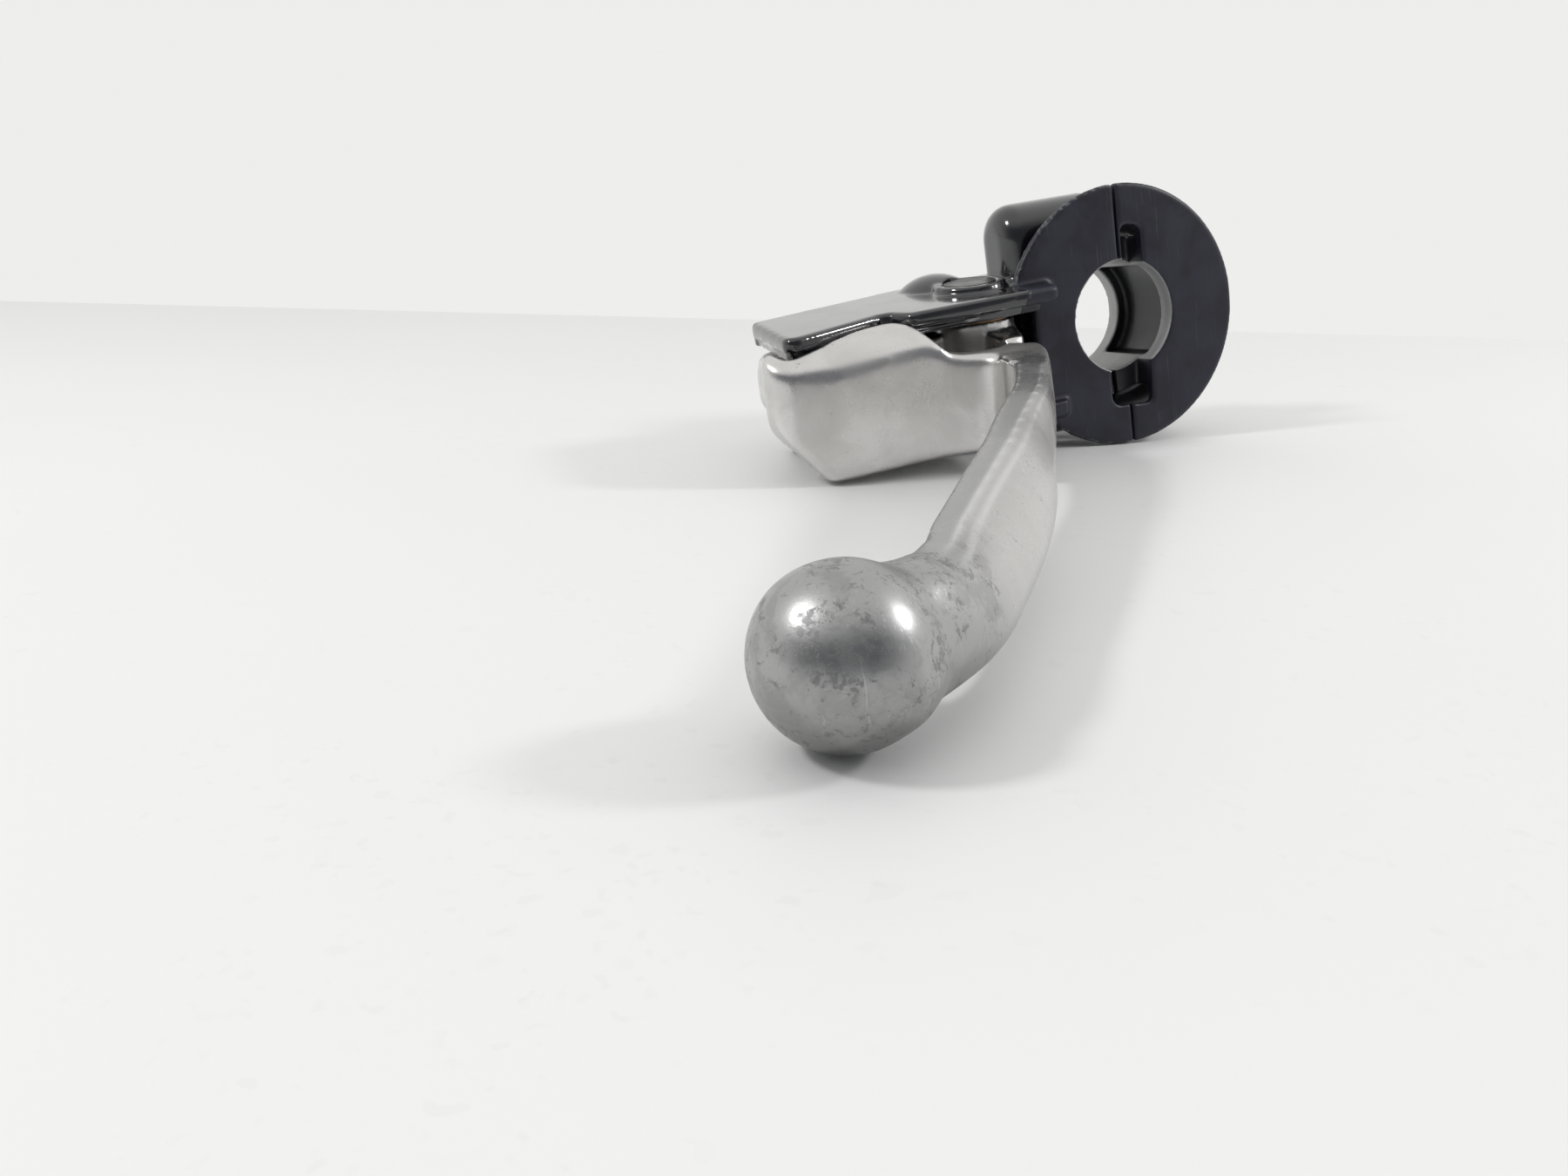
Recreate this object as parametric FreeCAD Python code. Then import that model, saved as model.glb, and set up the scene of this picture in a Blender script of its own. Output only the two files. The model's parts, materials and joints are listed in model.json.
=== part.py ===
import FreeCAD, Part
import math
import os
from FreeCAD import Vector

# Left-hand clutch lever and its bar perch, in millimetres.
# Frame: +Y runs inboard along the handlebar, +X points back to the rider, +Z is up.
# The origin is on the bar axis, half-way along the clamp.
# Places below are given as outboard of the flange face, forward of the bar axis, and up.

# handlebar clamp
BAR_RADIUS = 12.7
CLAMP_LENGTH = 26.2
CLAMP_SHELL_RADIUS = 18.6
FLANGE_RADIUS = 29.6
FLANGE_THICKNESS = 2.2
SPLIT_GAP = 0.5
POCKET_RADIUS = 15.4
POCKET_HALF_HEIGHT = 10.4
LAND_WIDTH = 4.2
CLAMP_END_DEPTH = 13.4

# clamp screws, M6, one above and one below the bar
SCREW_OUT = -14.0
UPPER_SCREW_UP = 20.8
LOWER_SCREW_UP = -19.6
SCREW_SEAT_FORWARD = -12.0
SCREW_SHANK_RADIUS = 2.95
TAPPED_RADIUS = 3.0
CLEARANCE_RADIUS = 3.3
SCREW_REACH = 13.0
SCREW_HEAD_RADIUS = 5.0
SCREW_HEAD_HEIGHT = 6.0
SOCKET_ACROSS_FLATS = 5.0
WASHER_RADIUS = 6.0
WASHER_THICKNESS = 1.2
UPPER_BARREL_RADIUS = 8.0
UPPER_BARREL_END = 24.4
LOWER_BARREL_RADIUS = 6.4
LOWER_BARREL_END = 17.5

# the lever plane droops this much from the bar, towards the ball
LEVER_DROOP_DEG = 6.0

# ears, in the lever plane
EAR_TOP = 11.0
EAR_LIP = 7.9
EAR_UNDERSIDE = 5.8
LOWER_EAR_TOP = -15.8
LOWER_EAR_BOTTOM = -19.6
EAR_STEP_RADIUS = 27.4
WEB_FRONT = 22.8

# pivot
PIVOT_OUT = -9.0
PIVOT_FORWARD = 34.5
PIN_RADIUS = 4.75
PIN_HOLE_RADIUS = 4.85
PIN_HEAD_RADIUS = 6.0
PIN_HEAD_HEIGHT = 1.3
PIN_BOTTOM = -21.8
PIN_BOSS_RADIUS = 8.3
PIN_BOSS_TOP = 12.7
HUB_RADIUS = 9.5
HUB_TOP = 4.6
HUB_BOTTOM = -14.4
BUSH_BORE_RADIUS = 4.80
BUSH_RADIUS = 6.2
BUSH_LENGTH = 8.0
BUSH_FLANGE_RADIUS = 8.6
BUSH_FLANGE = 0.8
THRUST_WASHER = 0.4
THRUST_WASHER_BORE = 5.2
CLIP_GROOVE_RADIUS = 3.7
CLIP_RADIUS = 7.4
CLIP_THICKNESS = 0.8
CLIP_TOP = -19.75

# cable end
ANCHOR_ARM = 24.0
ANCHOR_ANGLE_DEG = 98.0
ANCHOR_RADIUS = 4.0
ANCHOR_TOP = 4.4
ANCHOR_BOTTOM = -14.4
ANCHOR_BUSH_BORE = 4.05
ANCHOR_BUSH_RADIUS = 5.0
ANCHOR_BUSH_LENGTH = 6.5
CABLE_UP = -5.0
CABLE_HOLE_RADIUS = 1.5
NIPPLE_RADIUS = 2.6
NIPPLE_DEPTH = 4.5
CABLE_SEAT_RADIUS = 4.1
CABLE_SEAT_DEPTH = 7.0
CABLE_BOSS_RADIUS = 7.0
CABLE_BOSS_OUT = -33.0
CABLE_PASS_RADIUS = 2.4

# lever body
BODY_TOP = 5.2
BODY_BOTTOM = -15.2
SADDLE_TOP = 2.2
SADDLE_FLOOR = -6.0
SHOULDER_TOP = 9.8
WALL_BOTTOM = -20.2
SHOULDER_RADIUS = 28.1
BALL_RADIUS = 11.5
BALL_OUT = 129.5
BALL_FORWARD = 124.6
BALL_UP = -2.8

EPS = 0.01
FAR = 60.0


def at(out, forward, up):
    """Turn outboard, forward and up distances into a point."""
    return Vector(-forward, -out, up)


PIVOT = at(PIVOT_OUT, PIVOT_FORWARD, 0)
UP = Vector(0, 0, 1)
OUTBOARD = at(1, 0, 0)
FORWARD = at(0, 1, 0)


def to_bar_frame(shape):
    """Move a clamp piece from the flange face to the middle of the clamp."""
    moved = shape.copy()
    moved.translate(Vector(0, -CLAMP_LENGTH / 2, 0))
    return moved


def to_lever_frame(shape):
    """Tip a lever-side piece by the droop, then move it with the clamp."""
    tipped = shape.copy()
    tipped.rotate(Vector(0, 0, 0), Vector(1, 0, 0), LEVER_DROOP_DEG)
    return to_bar_frame(tipped)


def to_upright(shape):
    """Undo the droop, so that a clamp-side cut can be made on a lever-side piece."""
    turned = shape.copy()
    turned.rotate(Vector(0, 0, 0), Vector(1, 0, 0), -LEVER_DROOP_DEG)
    return turned


def rounded_wire(corners):
    """Join (point, radius) corners by straight sides and tangent arcs."""
    count = len(corners)
    bends = []
    for index, (corner, radius) in enumerate(corners):
        before = (corners[index - 1][0] - corner).normalize()
        after = (corners[(index + 1) % count][0] - corner).normalize()
        half = before.getAngle(after) / 2
        reach = radius / math.tan(half)
        bisector = (before + after).normalize()
        middle = corner + bisector * (radius / math.sin(half) - radius)
        bends.append((corner + before * reach, middle, corner + after * reach))
    edges = []
    for index, (start, middle, end) in enumerate(bends):
        if start.distanceToPoint(end) > EPS:
            edges.append(Part.Arc(start, middle, end).toShape())
        following = bends[(index + 1) % count][0]
        if end.distanceToPoint(following) > EPS:
            edges.append(Part.makeLine(end, following))
    return Part.Wire(Part.__sortEdges__(edges))


def prism(outline, place, travel):
    """Extrude an outline of (first, second, corner radius) points."""
    corners = [(place(first, second), radius) for first, second, radius in outline]
    return Part.Face(rounded_wire(corners)).extrude(travel)


def slab(outline, low, high):
    """A plate whose plan outline is (outboard, forward, radius)."""
    return prism(outline, lambda out, forward: at(out, forward, low), UP * (high - low))


def bar_along_forward(outline, start, end):
    """A bar whose section is (outboard, up, radius)."""
    return prism(outline, lambda out, up: at(out, start, up), FORWARD * (end - start))


def bar_along_out(outline, start, end):
    """A bar whose side view is (forward, up, radius)."""
    return prism(outline, lambda forward, up: at(start, forward, up), OUTBOARD * (end - start))


def block(out_low, out_high, forward_low, forward_high, up_low, up_high):
    """A plain box between six planes."""
    corner = at(out_high, forward_high, up_low)
    depth = out_high - out_low
    return Part.makeBox(forward_high - forward_low, depth, up_high - up_low, corner)


def round_rod(radius, centre, direction, length):
    return Part.makeCylinder(radius, length, centre, direction)


def upright_rod(radius, centre, low, high):
    return round_rod(radius, Vector(centre.x, centre.y, low), UP, high - low)


def ring(outer, inner, centre, low, high):
    return upright_rod(outer, centre, low, high).cut(upright_rod(inner, centre, low - 1, high + 1))


def edges_at(solid, height):
    """The edges that lie wholly at one height."""
    found = []
    for edge in solid.Edges:
        box = edge.BoundBox
        if abs(box.ZMin - height) < EPS and abs(box.ZMax - height) < EPS:
            found.append(edge)
    return found


def join(pieces):
    """Fuse solids into one clean solid."""
    whole = pieces[0].multiFuse(pieces[1:])
    return whole.removeSplitter()


# ---- handlebar clamp, both halves ----

def bar_bore():
    return round_rod(BAR_RADIUS, at(FAR, 0, 0), -OUTBOARD, 2 * FAR)


def flange_disc():
    disc = round_rod(FLANGE_RADIUS, at(0, 0, 0), -OUTBOARD, FLANGE_THICKNESS)
    rims = [edge for edge in disc.Edges if edge.BoundBox.YLength < EPS]
    return disc.makeFillet(0.5, rims)


def clamp_shell():
    length = CLAMP_LENGTH - FLANGE_THICKNESS / 2
    return round_rod(CLAMP_SHELL_RADIUS, at(-FLANGE_THICKNESS / 2, 0, 0), -OUTBOARD, length)


def flange_notches():
    """Two casting recesses in the flange, beside the bore at the split."""
    upper = bar_along_out([(-0.9, 10, 0), (-0.9, 20.5, 1.5), (-6.2, 19.6, 2.0), (-6.2, 9, 0)], -6, 1)
    lower = bar_along_out([(5.0, -8, 0), (4.6, -20.2, 2.0), (-6.0, -21.2, 1.2), (-6.6, -8, 0)], -6, 1)
    return upper.fuse(lower)


def half_space(forward_sign):
    """The room on one side of the split."""
    edge = SPLIT_GAP / 2
    if forward_sign > 0:
        return block(-FAR, FAR, edge, 2 * FAR, -FAR, FAR)
    return block(-FAR, FAR, -2 * FAR, -edge, -FAR, FAR)


def screw_centres():
    return [at(SCREW_OUT, 0, UPPER_SCREW_UP), at(SCREW_OUT, 0, LOWER_SCREW_UP)]


def front_barrel(up, radius, end, rounding):
    """The blind boss that a clamp screw threads into."""
    barrel = round_rod(radius, at(SCREW_OUT, 0, up), FORWARD, end)
    inner = min(up, 0)
    outer = max(up, 0)
    foot = block(SCREW_OUT - radius, SCREW_OUT + radius, 0, end, inner, outer)
    boss = barrel.fuse(foot).removeSplitter()
    tip = [edge for edge in boss.Edges if abs(edge.BoundBox.XMax + end) < EPS]
    rim = [edge for edge in tip if abs(edge.BoundBox.Center.z) > 1]
    return boss.makeFillet(rounding, rim)


def cap_boss(up, radius):
    """The rear half's screw boss, flat where the washer sits."""
    reach = -SCREW_SEAT_FORWARD
    boss = round_rod(radius, at(SCREW_OUT, 0, up), -FORWARD, reach)
    inner = min(up, 0)
    outer = max(up, 0)
    return boss.fuse(block(SCREW_OUT - radius, SCREW_OUT + radius, -reach, 0, inner, outer))


def bore_pocket():
    """The cast relief in the rear half's bore, between two machined lands."""
    depth = CLAMP_LENGTH - 2 * LAND_WIDTH
    relief = round_rod(POCKET_RADIUS, at(-LAND_WIDTH, 0, 0), -OUTBOARD, depth)
    window = block(-FAR, FAR, -FAR, -4, -POCKET_HALF_HEIGHT, POCKET_HALF_HEIGHT)
    return relief.common(window)


def clamp_cap():
    pieces = [flange_disc(), clamp_shell(), cap_boss(UPPER_SCREW_UP, 7.0), cap_boss(LOWER_SCREW_UP, 6.8)]
    cap = join(pieces).common(half_space(-1))
    for centre in screw_centres():
        cap = cap.cut(round_rod(CLEARANCE_RADIUS, centre, -FORWARD, FAR))
        seat = centre + FORWARD * SCREW_SEAT_FORWARD
        cap = cap.cut(round_rod(WASHER_RADIUS + 0.4, seat, -FORWARD, FAR))
    return cap.cut(bar_bore()).cut(bore_pocket()).cut(flange_notches())


def clamp_front():
    """The bracket's own half of the clamp."""
    pieces = [
        flange_disc(),
        clamp_shell(),
        front_barrel(UPPER_SCREW_UP, UPPER_BARREL_RADIUS, UPPER_BARREL_END, 5.2),
        front_barrel(LOWER_SCREW_UP, LOWER_BARREL_RADIUS, LOWER_BARREL_END, 2.4),
    ]
    return join(pieces).common(half_space(1))


def clamp_screw(centre):
    seat = centre - FORWARD * (WASHER_THICKNESS - SCREW_SEAT_FORWARD)
    shank = round_rod(SCREW_SHANK_RADIUS, seat, FORWARD, SCREW_REACH - SCREW_SEAT_FORWARD + WASHER_THICKNESS)
    head = round_rod(SCREW_HEAD_RADIUS, seat, -FORWARD, SCREW_HEAD_HEIGHT)
    crown = [edge for edge in head.Edges if abs(edge.BoundBox.XMin - seat.x - SCREW_HEAD_HEIGHT) < EPS]
    head = head.makeChamfer(0.6, crown)
    top = seat - FORWARD * SCREW_HEAD_HEIGHT
    return shank.fuse(head).cut(hex_socket(top))


def hex_socket(top):
    """A hexagon recess, cut forward into a screw head."""
    reach = SOCKET_ACROSS_FLATS / 2 / math.cos(math.radians(30))
    points = []
    for corner in range(7):
        angle = math.radians(60 * corner)
        points.append(top + Vector(0, reach * math.cos(angle), reach * math.sin(angle)))
    return Part.Face(Part.makePolygon(points)).extrude(FORWARD * 3.2)


def clamp_washer(centre):
    seat = centre + FORWARD * SCREW_SEAT_FORWARD
    disc = round_rod(WASHER_RADIUS, seat, -FORWARD, WASHER_THICKNESS)
    return disc.cut(round_rod(CLEARANCE_RADIUS - 0.1, seat, -FORWARD, WASHER_THICKNESS))


# ---- bracket: ears, side wall and cable seat ----

def ear_outline(near_out, front_near, front_far, tip_forward):
    """Plan of an ear, from its tip beside the flange round to the far side."""
    return [
        (near_out - 0.8, tip_forward, 1.8),
        (near_out, 62.0, 0.4),
        (2.0, 62.0, 1.0),
        (8.6, 79.0, 6.0),
        front_near,
        front_far,
        (-27.0, 45.0, 6.0),
        (-26.2, 10.0, 0),
        (-3.0, 10.0, 0),
        (-0.6, tip_forward - 1.5, 0.6),
    ]


def beyond_step(radius):
    """What lies further from the pivot than a radius, outboard of the ears' front edge."""
    reach = block(2.0, 20.0, 40.0, 62.5, -FAR, FAR)
    return reach.cut(upright_rod(radius, PIVOT, -FAR, FAR))


def upper_ear():
    near = (11.2, 86.6, 2.6)
    far = (-18.4, 84.4, 1.6)
    plate = slab(ear_outline(7.2, near, far, 20.4), EAR_LIP, EAR_TOP)
    plate = plate.cut(beyond_step(EAR_STEP_RADIUS))
    plate = plate.makeFillet(1.1, edges_at(plate, EAR_TOP))
    lip = slab(ear_outline(5.4, (10.2, 85.8, 2.4), (-17.2, 83.8, 3.0), 24.0), EAR_UNDERSIDE, EAR_LIP + 1)
    lip = lip.cut(beyond_step(EAR_STEP_RADIUS + 0.2))
    return plate.fuse(lip)


def lower_ear():
    near = (5.0, 79.0, 3.0)
    far = (-18.6, 79.5, 4.0)
    outline = [
        (3.8, 17.5, 1.8),
        (4.6, 56.0, 8.0),
        (1.0, 66.0, 8.0),
        near,
        far,
        (-27.0, 45.0, 6.0),
        (-26.2, 10.0, 0),
        (-3.0, 10.0, 0),
        (-0.6, 16.0, 0.6),
    ]
    plate = slab(outline, LOWER_EAR_BOTTOM, LOWER_EAR_TOP)
    return plate.makeFillet(1.0, edges_at(plate, LOWER_EAR_BOTTOM))


def side_wall():
    """The inboard wall that ties the ears together and takes the cable."""
    outline = [
        (-27.0, 10.0, 0),
        (-27.0, 45.0, 6.0),
        (-17.8, 84.6, 1.4),
        (-14.7, 84.0, 1.2),
        (-23.4, 44.6, 5.0),
        (-23.4, 10.0, 0),
    ]
    wall = slab(outline, LOWER_EAR_BOTTOM + 1, EAR_TOP - 1)
    foot_cut = [(77.5, -25.0, 0), (77.5, -19.0, 2.0), (84.6, -9.5, 3.0), (95.0, -6.0, 0), (95.0, -25.0, 0)]
    return wall.cut(bar_along_out(foot_cut, -FAR, FAR))


def web():
    """The block between the clamp and the ears."""
    return block(-26.9, -2.0, 8.0, WEB_FRONT, LOWER_EAR_BOTTOM + 0.4, EAR_TOP - 0.4)


def pivot_boss():
    boss = upright_rod(PIN_BOSS_RADIUS, PIVOT, EAR_TOP - 1, PIN_BOSS_TOP)
    return boss.makeFillet(0.5, edges_at(boss, PIN_BOSS_TOP))


def pin_bore():
    """The pin's hole through both ears, with a recess for its head."""
    recess = upright_rod(PIN_HEAD_RADIUS + 0.2, PIVOT, PIN_BOSS_TOP - PIN_HEAD_HEIGHT, FAR)
    return recess.fuse(upright_rod(PIN_HOLE_RADIUS, PIVOT, -FAR, FAR))


def dome_pad():
    """A low domed pad cast on the ear, inboard of the pivot."""
    rise = 3.2
    rim = 8.2
    radius = (rim * rim + rise * rise) / (2 * rise)
    centre = at(-19.3, 38.4, EAR_TOP + rise - radius)
    cap = Part.makeSphere(radius, centre)
    return cap.common(block(-FAR, FAR, -FAR, 2 * FAR, EAR_TOP - 0.8, FAR))


def anchor_centre():
    angle = math.radians(ANCHOR_ANGLE_DEG)
    return PIVOT + at(ANCHOR_ARM * math.cos(angle), ANCHOR_ARM * math.sin(angle), 0)


def cable_line(out):
    """A point on the cable's path at a distance outboard."""
    return at(out, -anchor_centre().x, CABLE_UP)


def cable_boss():
    boss = round_rod(CABLE_BOSS_RADIUS, cable_line(-21.0), -OUTBOARD, -21.0 - CABLE_BOSS_OUT)
    mouth = [edge for edge in boss.Edges if abs(edge.BoundBox.YMin + CABLE_BOSS_OUT) < EPS]
    return boss.makeChamfer(0.7, mouth)


def cable_passage():
    seat = round_rod(CABLE_SEAT_RADIUS, cable_line(CABLE_BOSS_OUT + CABLE_SEAT_DEPTH), -OUTBOARD, FAR)
    return seat.fuse(round_rod(CABLE_PASS_RADIUS, cable_line(-10.0), -OUTBOARD, FAR))


def lever_room():
    """The room between the ears that the lever's hub and root sweep."""
    hub_room = upright_rod(HUB_RADIUS + 1.0, PIVOT, LOWER_EAR_TOP, EAR_UNDERSIDE)
    ahead = block(-23.4, FAR, WEB_FRONT, 2 * FAR, LOWER_EAR_TOP, EAR_UNDERSIDE)
    return hub_room.fuse(ahead)


def bracket():
    ears = join([upper_ear(), lower_ear(), side_wall(), web(), pivot_boss(), dome_pad(), cable_boss()])
    front = to_upright(clamp_front().cut(block(-FAR, FAR, 28.0, FAR, -FAR, FAR)))
    body = join([ears, front])
    body = body.cut(pin_bore()).cut(lever_room()).cut(cable_passage())
    body.rotate(Vector(0, 0, 0), Vector(1, 0, 0), LEVER_DROOP_DEG)
    body = body.cut(bar_bore()).cut(flange_notches())
    body = body.cut(block(-FAR, FAR, -FAR, SPLIT_GAP / 2, -FAR, FAR))
    body = body.cut(block(-FAR, -CLAMP_LENGTH, 0, CLAMP_END_DEPTH, -FAR, FAR))
    for centre in screw_centres():
        body = body.cut(round_rod(TAPPED_RADIUS, centre, FORWARD, SCREW_REACH + 1.5))
    return to_bar_frame(body)


# ---- pivot stack ----

def pivot_pin():
    shank = upright_rod(PIN_RADIUS, PIVOT, PIN_BOTTOM, PIN_BOSS_TOP - 0.5)
    shank = shank.makeChamfer(0.6, edges_at(shank, PIN_BOTTOM))
    head_low = PIN_BOSS_TOP - PIN_HEAD_HEIGHT
    head = upright_rod(PIN_HEAD_RADIUS, PIVOT, head_low, PIN_BOSS_TOP - 0.05)
    head = head.makeFillet(0.4, edges_at(head, PIN_BOSS_TOP - 0.05))
    groove = ring(PIN_RADIUS + 1, CLIP_GROOVE_RADIUS, PIVOT, CLIP_TOP - CLIP_THICKNESS - 0.1, CLIP_TOP + 0.05)
    return shank.fuse(head).removeSplitter().cut(groove)


def pivot_clip():
    """An E-clip, open towards the front."""
    low = CLIP_TOP - CLIP_THICKNESS
    clip = ring(CLIP_RADIUS, CLIP_GROOVE_RADIUS + 1.6, PIVOT, low, CLIP_TOP)
    for angle in (120, 240):
        tooth = block(-1.6, 1.6, CLIP_GROOVE_RADIUS + 0.05, CLIP_RADIUS - 0.4, low, CLIP_TOP)
        tooth.rotate(Vector(0, 0, 0), UP, angle)
        tooth.translate(PIVOT)
        clip = clip.fuse(tooth)
    mouth = block(-3.2, 3.2, 0, FAR, low - 1, CLIP_TOP + 1)
    mouth.translate(PIVOT)
    return clip.cut(mouth)


def flanged_bush(flange_face, into):
    """A plain bush whose flange faces an ear; into is +1 or -1 along its length."""
    flange_end = flange_face + into * BUSH_FLANGE
    body_end = flange_face + into * (BUSH_FLANGE + BUSH_LENGTH)
    flange = upright_rod(BUSH_FLANGE_RADIUS, PIVOT, min(flange_face, flange_end), max(flange_face, flange_end))
    sleeve = upright_rod(BUSH_RADIUS, PIVOT, min(flange_face, body_end), max(flange_face, body_end))
    return flange.fuse(sleeve).removeSplitter().cut(upright_rod(BUSH_BORE_RADIUS, PIVOT, -FAR, FAR))


def thrust_washer():
    low = LOWER_EAR_TOP + 0.1
    return ring(BUSH_FLANGE_RADIUS, THRUST_WASHER_BORE, PIVOT, low, low + THRUST_WASHER)


# ---- cable anchor ----

def cable_anchor():
    centre = anchor_centre()
    barrel = upright_rod(ANCHOR_RADIUS, centre, ANCHOR_BOTTOM, ANCHOR_TOP)
    ends = edges_at(barrel, ANCHOR_TOP) + edges_at(barrel, ANCHOR_BOTTOM)
    barrel = barrel.makeChamfer(0.5, ends)
    middle = centre + UP * CABLE_UP
    wire_hole = round_rod(CABLE_HOLE_RADIUS, middle - OUTBOARD * 8, OUTBOARD, 16)
    seat = round_rod(NIPPLE_RADIUS, middle + OUTBOARD * (ANCHOR_RADIUS - NIPPLE_DEPTH), OUTBOARD, 8)
    slit = block(-8, 8, -CABLE_HOLE_RADIUS * 0.8, CABLE_HOLE_RADIUS * 0.8, ANCHOR_BOTTOM - 1, CABLE_UP)
    slit.translate(centre)
    return barrel.cut(wire_hole).cut(seat).cut(slit)


def anchor_bush(low):
    return ring(ANCHOR_BUSH_RADIUS, ANCHOR_BUSH_BORE, anchor_centre(), low, low + ANCHOR_BUSH_LENGTH)


# ---- lever ----

def lever_core():
    """The part of the lever between the ears, low beside the hub and full height ahead."""
    outline = [
        (-18.4, 36.0, 2.0),
        (-20.4, 44.5, 5.0),
        (-13.0, 85.4, 2.0),
        (0.5, 90.4, 8.0),
        (9.0, 91.6, 2.0),
        (9.0, 31.4, 2.0),
        (-5.4, 25.7, 0.5),
    ]
    full = slab(outline, BODY_BOTTOM, BODY_TOP)
    dip = upright_rod(SHOULDER_RADIUS - 0.6, PIVOT, SADDLE_TOP, FAR)
    swept_foot = [(76.5, -22.0, 0), (76.5, -16.0, 3.0), (90.5, -3.5, 0), (98.0, 1.0, 0), (98.0, -22.0, 0)]
    return full.cut(dip).cut(bar_along_out(swept_foot, -FAR, FAR))


def saddle_pocket():
    """The hollow round the hub, inboard of the outer wall, that shows the hub's side."""
    room = ring(SHOULDER_RADIUS - 3.6, HUB_RADIUS - 0.2, PIVOT, SADDLE_FLOOR, FAR)
    return room.common(block(-6.0, 12.6, 36.0, 62.0, SADDLE_FLOOR, FAR))


def wall_plan():
    """Plan of the tall outboard wall: ear side first, then the smooth outer face."""
    return slab([
        (3.0, 63.4, 1.0),
        (9.6, 79.0, 6.0),
        (12.2, 87.4, 0.6),
        (6.0, 90.0, 0.8),
        (11.0, 93.2, 4.0),
        (16.8, 91.0, 6.0),
        (17.8, 78.0, 14.0),
        (16.4, 58.0, 18.0),
        (19.4, 43.8, 5.0),
        (29.0, 46.4, 0.8),
        (31.0, 40.4, 3.0),
        (16.0, 32.8, 8.0),
        (4.0, 30.4, 2.0),
        (4.0, 56.0, 0),
    ], WALL_BOTTOM, SHOULDER_TOP)


def wall_section():
    """End view of the wall: rounded over at the top, leaning out a little below."""
    return bar_along_forward([
        (-2.0, 10.0, 0),
        (8.0, 10.0, 8.0),
        (16.8, 5.8, 4.0),
        (18.0, 2.0, 2.0),
        (32.0, 2.0, 0),
        (32.0, -16.0, 0),
        (16.6, -19.2, 5.0),
        (-2.0, -20.2, 0),
    ], 25.0, 96.0)


def wall_side():
    """Side view of the wall: low beside the hub, a shoulder ahead, a swept front foot."""
    return bar_along_out([
        (26.0, -14.0, 0),
        (40.0, -17.0, 10.0),
        (52.0, -20.2, 12.0),
        (82.2, -19.4, 5.0),
        (94.4, -4.0, 7.0),
        (95.0, 7.2, 4.0),
        (88.0, 9.8, 6.0),
        (57.5, 9.8, 4.0),
        (53.0, 2.4, 6.0),
        (40.0, 2.0, 6.0),
        (31.0, 0.2, 4.0),
        (26.0, -4.0, 0),
    ], -5.0, 40.0)


def lever_wall():
    wall = wall_plan().common(wall_section()).common(wall_side())
    over_ear = upright_rod(SHOULDER_RADIUS, PIVOT, SADDLE_TOP + 0.6, FAR)
    under_ear = block(-FAR, 6.4, -FAR, 2 * FAR, -FAR, BODY_BOTTOM)
    return wall.cut(over_ear).cut(under_ear)


# Stations along the blade: the front edge outboard and forward, the heading in degrees,
# how far back the first ridge, the second ridge and the belly are, and the top and foot heights.
BLADE_STATIONS = [
    (13.0, 39.4, 24.0, 7.0, 7.8, 8.6, 2.2, -15.6),
    (22.0, 41.8, 26.0, 6.4, 7.3, 7.4, 2.1, -15.4),
    (31.0, 46.4, 29.0, 5.8, 6.8, 7.0, 2.0, -15.0),
    (46.0, 55.4, 33.0, 5.2, 6.5, 7.6, 1.9, -14.4),
    (60.0, 66.4, 35.0, 5.1, 6.6, 9.6, 1.8, -14.1),
    (74.0, 76.5, 36.0, 4.7, 6.4, 11.3, 1.9, -14.0),
    (87.0, 86.7, 38.0, 4.5, 6.1, 12.5, 2.0, -13.8),
    (98.0, 95.2, 40.0, 4.3, 5.9, 12.6, 2.1, -13.4),
    (107.0, 102.0, 43.0, 4.3, 6.0, 12.2, 2.4, -13.0),
    (114.0, 107.2, 48.0, 4.7, 6.8, 11.8, 3.0, -12.6),
    (119.0, 112.2, 54.0, 5.6, 8.2, 11.6, 4.0, -12.4),
    (122.6, 117.8, 60.0, 6.4, 9.6, 11.6, 5.2, -12.2),
    (125.0, 122.0, 65.0, 6.6, 9.8, 11.6, 5.4, -12.2),
]


def blade_section(out, forward, heading, first_ridge, second_ridge, belly, top, foot):
    """A closed section: upright front, two soft ridges on top, a broad face behind, a round foot."""
    turn = math.radians(heading)
    inward = at(math.sin(turn), -math.cos(turn), 0)
    front = at(out, forward, 0)
    height = top - foot

    def spot(inset, up):
        return front + inward * inset + UP * up

    low_front = spot(0.2, foot + 3.2)
    high_front = spot(0.0, top - 0.9)
    brow = spot(0.9, top)
    ridge_one = spot(first_ridge, top - 0.15)
    ridge_two = spot(second_ridge, top - 0.3 * (second_ridge - first_ridge) - 0.7)
    bulge = spot(0.45 * second_ridge + 0.55 * belly + 0.5, top - 0.32 * height)
    widest = spot(belly, foot + 0.38 * height)
    heel = spot(belly - 0.9, foot + 0.14 * height)
    sole = spot(0.55 * belly, foot)
    toe = spot(0.14 * belly, foot + 0.9)
    edges = [
        Part.makeLine(low_front, high_front),
        Part.Arc(high_front, spot(0.22, top - 0.22), brow).toShape(),
        Part.makeLine(brow, ridge_one),
        Part.makeLine(ridge_one, ridge_two),
        Part.Arc(ridge_two, bulge, widest).toShape(),
        Part.Arc(widest, heel, sole).toShape(),
        Part.Arc(sole, toe, low_front).toShape(),
    ]
    return Part.Wire(edges)


def lever_blade():
    sections = [blade_section(*station) for station in BLADE_STATIONS]
    return Part.makeLoft(sections, True, False)


def cable_slot():
    """A fan-shaped slot that lets the cable swing as the lever turns."""
    centre = anchor_centre()
    reach = 30.0
    points = [centre + UP * (CABLE_UP - 2.5)]
    for angle in (168.0, 222.0):
        turn = math.radians(angle)
        points.append(points[0] + at(reach * math.cos(turn), reach * math.sin(turn), 0))
    points.append(points[0])
    return Part.Face(Part.makePolygon(points)).extrude(UP * 5.0)


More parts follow.
